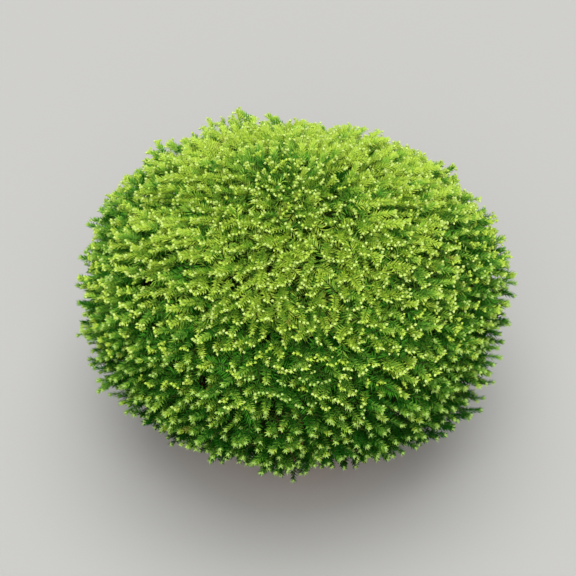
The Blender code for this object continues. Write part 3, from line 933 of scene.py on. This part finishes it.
def rounded(points, radius, steps=4):
    """A profile with its inner corners rounded off."""
    out = [points[0]]
    for before, corner, after in zip(points, points[1:], points[2:]):
        back = Vector(before) - Vector(corner)
        on = Vector(after) - Vector(corner)
        cut = min(radius, back.length * ROUNDING_MOST, on.length * ROUNDING_MOST)
        start, end = Vector(corner) + back.normalized() * cut, Vector(corner) + on.normalized() * cut
        out += [tuple(p) for p in bent_path(start, Vector(corner), end, steps)]
    return out + [points[-1]]


def pot_inside():
    """The inside of the pot's wall as (radius, height) at its foot, belly and mouth."""
    foot = POT_FOOT_RADIUS - POT_WALL / 2
    mouth = POT_RIM_RADIUS - POT_WALL - RIM_BAND_STEP / 2
    belly_z = (POT_HEIGHT - RIM_BAND_HEIGHT + POT_BASE) / 2
    return (foot, POT_BASE), (foot + (mouth - foot) * POT_BELLY, belly_z), (mouth, POT_HEIGHT)


def make_pot(clay):
    """The turned pan: rim band with rounded edges, drain holes in the flat base."""
    band_z = POT_HEIGHT - RIM_BAND_HEIGHT
    below_band = POT_RIM_RADIUS - RIM_BAND_STEP
    profile = [
        (0.0, 0.0),
        (POT_FOOT_RADIUS, 0.0),
        (POT_FOOT_RADIUS + (below_band - POT_FOOT_RADIUS) * POT_BELLY, band_z / 2),
        (below_band, band_z - POT_EDGE / 2),
        (POT_RIM_RADIUS, band_z),
        (POT_RIM_RADIUS, POT_HEIGHT),
        *reversed(pot_inside()),
        (0.0, POT_BASE),
    ]
    pot = placed("clay_pot", mesh_of(turned(rounded(profile, POT_EDGE), POT_STEPS), clay))
    for i in range(DRAIN_HOLES):
        spot = level_point(DRAIN_RING_RADIUS, math.tau * i / DRAIN_HOLES, 0.0)
        bm = bmesh.new()
        bmesh.ops.create_cone(
            bm, cap_ends=True, segments=DRAIN_HOLE_SIDES, radius1=DRAIN_HOLE_RADIUS,
            radius2=DRAIN_HOLE_RADIUS, depth=POT_BASE * 4, matrix=Matrix.Translation(spot),
        )
        drill(pot, placed("drill", mesh_of(bm, clay)))
    pot.data.name = "clay_pot"
    as_piece(pot, ["pot"])


def make_soil(compost, chips):
    """Crumbly compost in the pot, strewn with bark chips."""
    (foot, foot_z), (belly, belly_z), (mouth, mouth_z) = pot_inside()
    edge_z = SOIL_Z - SOIL_FALL
    edge = belly + (mouth - belly) * (edge_z - belly_z) / (mouth_z - belly_z) - 2 * SEAT_GAP
    profile = [
        (0.0, foot_z + SEAT_GAP),
        (foot - 2 * SEAT_GAP, foot_z + SEAT_GAP),
        (belly - 2 * SEAT_GAP, belly_z),
        *((edge * (1 - i / SOIL_RINGS), edge_z + SOIL_FALL * i / SOIL_RINGS) for i in range(SOIL_RINGS + 1)),
    ]
    bm = turned(profile, SOIL_STEPS)
    for vert in bm.verts:
        if vert.co.z > edge_z - SEAT_GAP:
            vert.co.z += sum(noise.noise(vert.co * fine) * height for fine, height in SOIL_LUMPS)
    add_piece("compost_fill", mesh_of(bm, compost, COMPOST_SHARP_FROM), ["soil"])
    chance = random.Random(SHOOT_SEED)
    bm = bmesh.new()
    for _ in range(CHIP_COUNT):
        radius, turn = edge * math.sqrt(chance.uniform(*CHIP_AREA)), chance.uniform(0.0, math.tau)
        spot = level_point(radius, turn, SOIL_Z + chance.uniform(*CHIP_LEVEL))
        place = Matrix.Translation(spot) @ Matrix.Rotation(turn * CHIP_TURNS, 4, "Z")
        for axis in "XY":
            place = place @ Matrix.Rotation(stray(chance, CHIP_TILT), 4, axis)
        size = (chance.uniform(*CHIP_LENGTH), chance.uniform(*CHIP_WIDTH), CHIP_THICKNESS, 1.0)
        bmesh.ops.create_cube(bm, size=1.0, matrix=place @ Matrix.Diagonal(size))
    noise.seed_set(SHOOT_SEED)
    for vert in bm.verts:
        vert.co += noise.noise_vector(vert.co * CHIP_WEAR[0]) * CHIP_WEAR[1]
    add_piece("bark_chips", mesh_of(bm, chips), None)


def make_limbs(masses, bark):
    """Trunk and boughs with ridged bark."""
    bm = bmesh.new()
    foot = SOIL_Z - TRUNK_BELOW_SOIL
    shares = [(i / TRUNK_RINGS) ** TRUNK_RING_CROWDING for i in range(TRUNK_RINGS + 1)]
    heights = [foot + (TRUNK_TIP_Z - foot) * share for share in shares]
    points, radii = [trunk_axis(z) for z in heights], [trunk_radius(max(z, SOIL_Z)) for z in heights]
    rough_limb(bm, points, radii, *TRUNK_BARK)
    add_bark("bark_trunk", bm, bark, ["trunk"])
    bm = bmesh.new()
    carried = [mass for mass in masses if mass["bough_z"] is not None]
    for mass in carried:
        start, end = trunk_axis(mass["bough_z"]), bough_tip(mass)
        knee = start.lerp(end, 0.5) + UP * (BOUGH_ARCH - BOUGH_SAG * (end.z - start.z))
        radii = [
            (BOUGH_ROOT_RADIUS + (BOUGH_TIP_RADIUS - BOUGH_ROOT_RADIUS) * i / BOUGH_STEPS)
            * (1.0 + BOUGH_COLLAR * math.exp(-i / BOUGH_COLLAR_STEPS))
            for i in range(BOUGH_STEPS + 1)
        ]
        rough_limb(bm, bent_path(start, knee, end, BOUGH_STEPS), radii, *BOUGH_BARK)
    add_bark("bark_boughs", bm, bark, ["bough_" + mass["name"] for mass in carried])


def add_bark(name, bm, bark, node_names):
    bmesh.ops.recalc_face_normals(bm, faces=bm.faces)
    add_piece(name, mesh_of(bm, bark, BARK_SHARP_FROM), node_names)


# Needles and buds


def needle_corners(turn, lean, twist, length, width):
    """The four corners of a needle in its shoot's own directions: X across it, Y up and Z ahead along it."""
    level = math.sin(lean)
    ahead = Vector((math.sin(turn) * level, math.cos(turn) * level, math.cos(lean)))
    across = Matrix.Rotation(twist, 3, ahead) @ ahead.cross(Vector((0.0, 1.0, 0.0))).normalized()
    lift = ahead.cross(across) * NEEDLE_THICKNESS
    widest = ahead * (length * NEEDLE_WIDEST) + lift
    return [Vector(), widest + across * (width / 2), widest - across * (width / 2), ahead * length]


def bud_corners():
    """The six corners of a bud: its foot, a ring of four, and its tip."""
    middle = UP * (BUD_LENGTH * BUD_WIDEST)
    turns = [BUD_TURN + math.tau * i / 4 for i in range(4)]
    ring = [middle + Vector((math.cos(turn), math.sin(turn), 0.0)) * BUD_RADIUS for turn in turns]
    return [Vector(), *ring, UP * BUD_LENGTH]


NEEDLE_FACES = ((0, 1, 2), (0, 2, 3), (0, 3, 1), (2, 1, 3))
BUD_FACES = (
    (0, 2, 1), (0, 3, 2), (0, 4, 3), (0, 1, 4),
    (5, 1, 2), (5, 2, 3), (5, 3, 4), (5, 4, 1),
)


def packed(shapes):
    """A shoot's needles or buds as arrays: their place along it, their corners, and their kind."""
    places = np.array([place for place, _, _ in shapes])
    corners = np.array([[list(corner) for corner in its_corners] for _, its_corners, _ in shapes])
    kinds = np.array([kind for _, _, kind in shapes])
    return places, corners, kinds


def young_shoot(chance, rosette, rosette_length, rosette_lean, rosette_kind, side_buds, end_kind):
    """A shoot of this year: its brush of needles, the rosette at its end, and its buds."""
    needles = []
    for i in range(BRUSH_NEEDLES):
        share = (i + 0.5) / BRUSH_NEEDLES
        lean = math.radians(mixed(BRUSH_LEAN, share) + stray(chance, BRUSH_LEAN_STRAY))
        size = NEEDLE_LENGTH * mixed(BRUSH_SIZE, share) * chance.uniform(*BRUSH_SIZE_SPREAD)
        turn_share = (i * GOLDEN_SHARE + stray(chance, BRUSH_TURN_STRAY)) % 1.0
        turn = math.radians(BRUSH_PARTING) * (2.0 * turn_share - 1.0)
        spot = share + stray(chance, KIND_STRAY)
        kind = ROSETTE if spot > ROSETTE_FROM else OUTER if spot > OUTER_FROM else INNER
        corners = needle_corners(turn, lean, stray(chance, NEEDLE_TWIST), size, NEEDLE_WIDTH)
        needles.append((BRUSH_END * share, corners, kind))
    for i in range(rosette):
        turn = i * math.tau / rosette + stray(chance, ROSETTE_TURN_STRAY)
        lean = math.radians(rosette_lean + stray(chance, ROSETTE_LEAN_STRAY))
        size = rosette_length * chance.uniform(*ROSETTE_SPREAD)
        corners = needle_corners(turn, lean, stray(chance, NEEDLE_TWIST), size, ROSETTE_WIDTH)
        needles.append((ROSETTE_PLACE, corners, rosette_kind))
    buds = [(1.0 - BUD_LENGTH * BUD_SUNK / SHOOT_LENGTH, bud_corners(), end_kind)]
    for i in range(side_buds):
        lean = math.radians(SIDE_BUD_LEAN + stray(chance, SIDE_BUD_LEAN_STRAY)) * (-1.0 if i % 2 else 1.0)
        tilt = Matrix.Rotation(lean, 3, "Y")
        spin = Matrix.Rotation(stray(chance, SIDE_BUD_TURN_STRAY), 3, "Z")
        size = SIDE_BUD_SIZE * chance.uniform(*SIDE_BUD_SPREAD)
        corners = [spin @ tilt @ (corner * size + UP * SIDE_BUD_OFF) for corner in bud_corners()]
        buds.append((SIDE_BUD_PLACE - SIDE_BUD_STAGGER * chance.random(), corners, BUD))
    return [(packed(needles), NEEDLE_FACES, DULL_NEEDLES), (packed(buds), BUD_FACES, DULL_BUDS)]


def old_shoot(chance, count, length, width):
    """An older shoot, whose needles lie flat to both sides."""
    needles = []
    for i in range(count):
        share = (i + 0.5) / count
        lean = math.radians(mixed(OLD_LEAN, share) + stray(chance, OLD_LEAN_STRAY))
        turn = math.radians((OLD_TURN if i % 2 else -OLD_TURN) + stray(chance, OLD_TURN_STRAY))
        size = length * chance.uniform(*OLD_SIZE_SPREAD)
        corners = needle_corners(turn, lean, stray(chance, NEEDLE_TWIST), size, width)
        kind = OUTER if share + stray(chance, OLD_KIND_STRAY) > OLD_OUTER_FROM else INNER
        needles.append((share, corners, kind))
    return [(packed(needles), NEEDLE_FACES, DULL_NEEDLES)]


def shoot_templates(chance):
    """The different shoots of each kind, which are laid out all over the crown."""
    templates = {}
    for kind, end in SHOOT_ENDS.items():
        templates[kind] = [young_shoot(chance, *end) for _ in range(TEMPLATES)]
    for kind, needles in OLD_NEEDLES.items():
        templates[kind] = [old_shoot(chance, *needles) for _ in range(TEMPLATES)]
    return templates


def shoot_frames(shoots):
    """Where shoots start, the way they go, and their directions across, up and ahead, as arrays."""
    start = np.array([entry["start"] for entry in shoots])
    axis = np.array([entry["end"] for entry in shoots]) - start
    ahead = axis / np.linalg.norm(axis, axis=1, keepdims=True)
    up = np.array([entry["up"] for entry in shoots])
    up = up - ahead * (up * ahead).sum(1, keepdims=True)
    up = up / np.maximum(np.linalg.norm(up, axis=1, keepdims=True), TINY)
    return start, axis, np.stack([np.cross(up, ahead), up, ahead], axis=1)


def laid_out(shoots, places, corners):
    """The corners of a template's needles on each of the shoots."""
    start, axis, basis = shoot_frames(shoots)
    on_axis = start[:, None, :] + places[None, :, None] * axis[:, None, :]
    return (on_axis[:, :, None, :] + np.einsum("ncd,sdk->snck", corners, basis)).reshape(-1, 3)


def numbered(faces, count, corners_each):
    """The faces of count copies of a shape whose corners follow one another."""
    firsts = np.arange(count)[:, None, None] * corners_each
    return (firsts + np.array(faces)[None]).reshape(-1, 3)


def needles_mesh(shoots, templates, finishes, dice):
    """All of a mass's needles and buds in one mesh."""
    corners, faces, tints, first = [], [], [], 0
    for kind, choices in templates.items():
        mine = [entry for entry in shoots if entry["kind"] == kind]
        picks = dice.integers(0, len(choices), len(mine))
        for pick, shapes in enumerate(choices):
            chosen = [entry for entry, its_pick in zip(mine, picks) if its_pick == pick]
            if not chosen:
                continue
            for (places, its_corners, kinds), its_faces, dull in shapes:
                its_tints = np.array([SHADES[entry["shade"]] for entry in chosen])[:, kinds]
                darker = (dice.random(its_tints.shape) < dull) & (its_tints < DARKEST)
                its_tints = np.where(darker, its_tints + 1, its_tints).reshape(-1)
                corners.append(laid_out(chosen, places, its_corners))
                faces.append(numbered(its_faces, its_tints.size, its_corners.shape[1]) + first)
                tints.append(np.repeat(its_tints, len(its_faces)))
                first += len(corners[-1])
    indices = np.concatenate(tints).astype(np.int32)
    return array_mesh(np.concatenate(corners), np.concatenate(faces), finishes, indices)


# Shoots and twigs of the crown


def shoot(start, end, up, kind, shade):
    return {"start": start, "end": end, "up": up, "kind": kind, "shade": shade}


def spray_shade(spray, chance):
    """A spray's painted light and shade: bright tints common on top and in front, less so at the back, rare
    low down.
    """
    ahead = -unit_of(spray["tip"]).y
    light = value_at(LIGHT_BY_LATITUDE, spray["latitude"]) + FACING_LIGHT * max(ahead, -BACK_SHARE * ahead)
    light += stray(chance, SHADE_STRAY)
    if chance.random() < RUSTY_SHARE:
        return "rusty"
    return next((shade for shade, least in SHADE_FROM if light > least), "unlit")


def old_shade(kind, outward):
    """The painted light or painted shade of an old shoot, by the way that the crown faces there."""
    if kind == "deep":
        return "deep"
    if outward.z > OLD_HIGH_FROM:
        return "crest" if outward.dot(LIT_CREST) > LIT_CREST_WITHIN else "high"
    return "low" if outward.z < OLD_LOW_BELOW else "old"


def turned_out(spray, onward, end, chance):
    """The way a shoot goes at its end: turned from onward towards a gently climbing way out of the crown."""
    azimuth = math.degrees(math.atan2(end.y, end.x)) + stray(chance, SHOOT_SWING)
    rise = value_at(SHOOT_RISE, spray["latitude"]) + stray(chance, SHOOT_RISE_STRAY)
    return onward.normalized().lerp(direction(azimuth, rise), SHOOT_TURNED).normalized()


def spray_shoots(spray, chance):
    """A spray's shoots and twigs: an arched midrib, and a shoot to each of its ends."""
    root, tip = spray["root"], spray["tip"]
    length = (tip - root).length
    along = (tip - root).normalized()
    face = along.cross(spray["side"]).normalized()
    outward = ((root + tip) / 2 - CROWN_MIDDLE).normalized()
    if face.dot(UP + outward * FACE_OUTWARDS) < 0.0:
        face = -face
    onward = turned_out(spray, tip - root, tip, chance)
    midrib = bent_path(root, tip - onward * length * TWIG_BEND, tip, TWIG_STEPS)
    shade = spray_shade(spray, chance)
    needled = curve_at(midrib, MIDRIB_NEEDLED_FROM), curve_at(midrib, FAN_FORKS[0])
    shoots, twigs = [shoot(*needled, face, "inner", "inner")], [(midrib, *MIDRIB_RADII)]
    kind = "starry" if spray["latitude"] + stray(chance, STARRY_STRAY) < STARRY_BELOW else "budded"
    for place, end in zip(spray["places"], spray["ends"]):
        ahead = onward
        if place:
            start = curve_at(midrib, mixed(FAN_FORKS, abs(place)) + stray(chance, FAN_FORK_STRAY))
            ahead = turned_out(spray, end - start, end, chance)
            knee = end - ahead * (end - start).length * TWIG_BEND
            twigs.append((bent_path(start, knee, end, SIDE_TWIG_STEPS), *SIDE_TWIG_RADII))
        shoots.append(shoot(end - ahead * SHOOT_LENGTH, end, face, kind, shade))
    return shoots, twigs


def old_shoot_list(masses):
    """Old shoots by mass, even over the crown at some depths below its sprays."""
    by_mass = {mass["name"]: [] for mass in masses}
    for kind, (count, depths) in OLD_SHOOTS.items():
        chance = random.Random(MORE_SEED)
        for k, latitude in enumerate(even_latitudes(count)):
            latitude = min(HIGHEST_LATITUDE, latitude + stray(chance, OLD_LATITUDE_STRAY))
            unit = direction(math.degrees(k * GOLDEN_ANGLE), latitude)
            point = crown_point(unit, reach(unit) * chance.uniform(*depths))
            outward = real_facing(unit)
            turn = Matrix.Rotation(chance.uniform(0.0, math.tau), 3, outward)
            climb = outward * (OLD_OUTWARDS + stray(chance, OLD_OUTWARDS_STRAY))
            along = (turn @ outward.orthogonal().normalized() + climb).normalized()
            if clears_pot([point, point + along * OLD_SHOOT_LENGTH / 2]):
                by_mass[owner_of(masses, unit)["name"]].append((kind, point, along, outward))
    return by_mass


def mass_growth(mass, sprays, old_ones, chance):
    """A mass's shoots, old twigs and young twigs: a stem, a branchlet to each spray, and its old shoots."""
    tip = bough_tip(mass)
    middle = pressed_in(mass, crown_point(mass["axis"], (CORE_INNER + CORE_OUTER) / 2))
    stem = bent_path(tip, tip.lerp(middle, 0.5), middle, TWIG_STEPS)
    shoots, old_twigs, young_twigs, feet = [], [(stem, *STEM_RADII)], [], []
    for spray in sprays:
        start = curve_at(stem, chance.uniform(*BRANCHLET_FEET))
        along = (spray["tip"] - spray["root"]).normalized()
        knee = spray["root"] - along * (spray["root"] - start).length * BRANCHLET_BEND
        branchlet = bent_path(start, knee, spray["root"], TWIG_STEPS)
        old_twigs.append((branchlet, *BRANCHLET_RADII))
        feet += [curve_at(branchlet, share) for share in OLD_SHOOT_FEET]
        its_shoots, its_twigs = spray_shoots(spray, chance)
        shoots += its_shoots
        young_twigs += its_twigs
    for kind, point, along, outward in old_ones:
        foot = min(feet, key=lambda spot: (spot - point).length_squared)
        start, end = point - along * (OLD_SHOOT_LENGTH / 2), point + along * (OLD_SHOOT_LENGTH / 2)
        if (end - foot).length < (start - foot).length:
            start, end = end, start
        shoots.append(shoot(start, end, outward, kind, old_shade(kind, outward)))
        old_twigs.append(([foot, start, end], *OLD_TWIG_RADII))
    return shoots, old_twigs, young_twigs


def twigs_mesh(twigs, finish):
    """Three-sided tapering twigs, each a closed shell of its own."""
    corners, faces = [], []
    for path, *radii in twigs:
        first, last = len(corners), len(corners) + 3 * (len(path) - 1)
        for i, point in enumerate(path):
            along = along_at(path, i)
            level = along.cross(UP if abs(along.z) < TWIG_UPRIGHT else Vector((1.0, 0.0, 0.0))).normalized()
            other = along.cross(level)
            radius = radii[0] + (radii[1] - radii[0]) * i / (len(path) - 1)
            for turn in (0.0, math.tau / 3, math.tau * 2 / 3):
                corners.append(point + (level * math.cos(turn) + other * math.sin(turn)) * radius)
        for a in range(first, last, 3):
            for k, m in ((0, 1), (1, 2), (2, 0)):
                faces += [(a + k, a + m, a + 3 + m), (a + k, a + 3 + m, a + 3 + k)]
        faces += [(first + 2, first + 1, first), (last, last + 1, last + 2)]
    return array_mesh([tuple(corner) for corner in corners], faces, [finish])


def make_foliage(masses, sprays):
    """The needles and buds of each mass, and the twigs of the whole crown."""
    finishes = [new_material(name, NEEDLE_ROUGHNESS, gloss, colour)[0] for name, colour, gloss in TINTS]
    chance = random.Random(SHOOT_SEED)
    dice = np.random.default_rng(SHOOT_SEED)
    templates = shoot_templates(chance)
    old_ones = old_shoot_list(masses)
    all_old, all_young = [], []
    for mass in masses:
        own = [spray for spray in sprays if spray["mass"] == mass["name"]]
        shoots, old_twigs, young_twigs = mass_growth(mass, own, old_ones[mass["name"]], chance)
        shoots = [entry for entry in shoots if clears_pot([entry["start"], entry["end"]])]
        all_old += old_twigs
        all_young += young_twigs
        mesh = needles_mesh(shoots, templates, finishes, dice)
        add_piece("needles_" + mass["name"], mesh, ["foliage_" + mass["name"]])
    old_bark_and_shade, young_bark_and_shade = (twig_material(*finish) for finish in TWIG_BARKS_AND_SHADE)
    add_piece("branchlets", twigs_mesh(all_old, old_bark_and_shade), None)
    add_piece("young_twigs", twigs_mesh(all_young, young_bark_and_shade), None)


# Floor, light and camera


def make_floor():
    bm = bmesh.new()
    bmesh.ops.create_grid(bm, x_segments=1, y_segments=1, size=FLOOR_REACH)
    placed("floor", mesh_of(bm, new_material("pale_floor", 0.9, 0.1, FLOOR_TONE)[0]))


def make_light():
    """A pale world, and very soft far lights that reach the floor evenly."""
    world = bpy.data.worlds.new("studio")
    world.use_nodes = True
    background = world.node_tree.nodes["Background"]
    plug(world.node_tree, background.inputs["Color"], WORLD_COLOUR)
    plug(world.node_tree, background.inputs["Strength"], WORLD_POWER)
    bpy.context.scene.world = world
    for name, towards, power in SKY_LIGHTS:
        data = bpy.data.lights.new(name, "SUN")
        data.energy = power
        data.angle = math.radians(SKY_LIGHT_SPREAD)
        placed(name, data).rotation_euler = Vector(towards).to_track_quat("-Z", "Y").to_euler()
    bpy.context.scene.view_settings.view_transform = "Standard"


def make_camera():
    data = bpy.data.cameras.new("camera")
    data.lens = CAMERA_LENS
    data.sensor_width = CAMERA_SENSOR
    camera = placed("camera", data)
    lift = math.radians(CAMERA_ELEVATION)
    camera.location = CAMERA_AIM + Vector((0.0, -math.cos(lift), math.sin(lift))) * CAMERA_DISTANCE
    camera.rotation_euler = (math.pi / 2 - lift, 0.0, 0.0)
    bpy.context.scene.camera = camera


def main():
    masses = mass_list()
    set_borders(masses)
    make_pot(clay_material())
    make_soil(compost_material(), chip_material())
    make_limbs(masses, bark_material())
    sprays = spray_list(masses)
    make_foliage(masses, sprays + more_sprays(masses, sprays))
    make_floor()
    make_light()
    make_camera()


main()
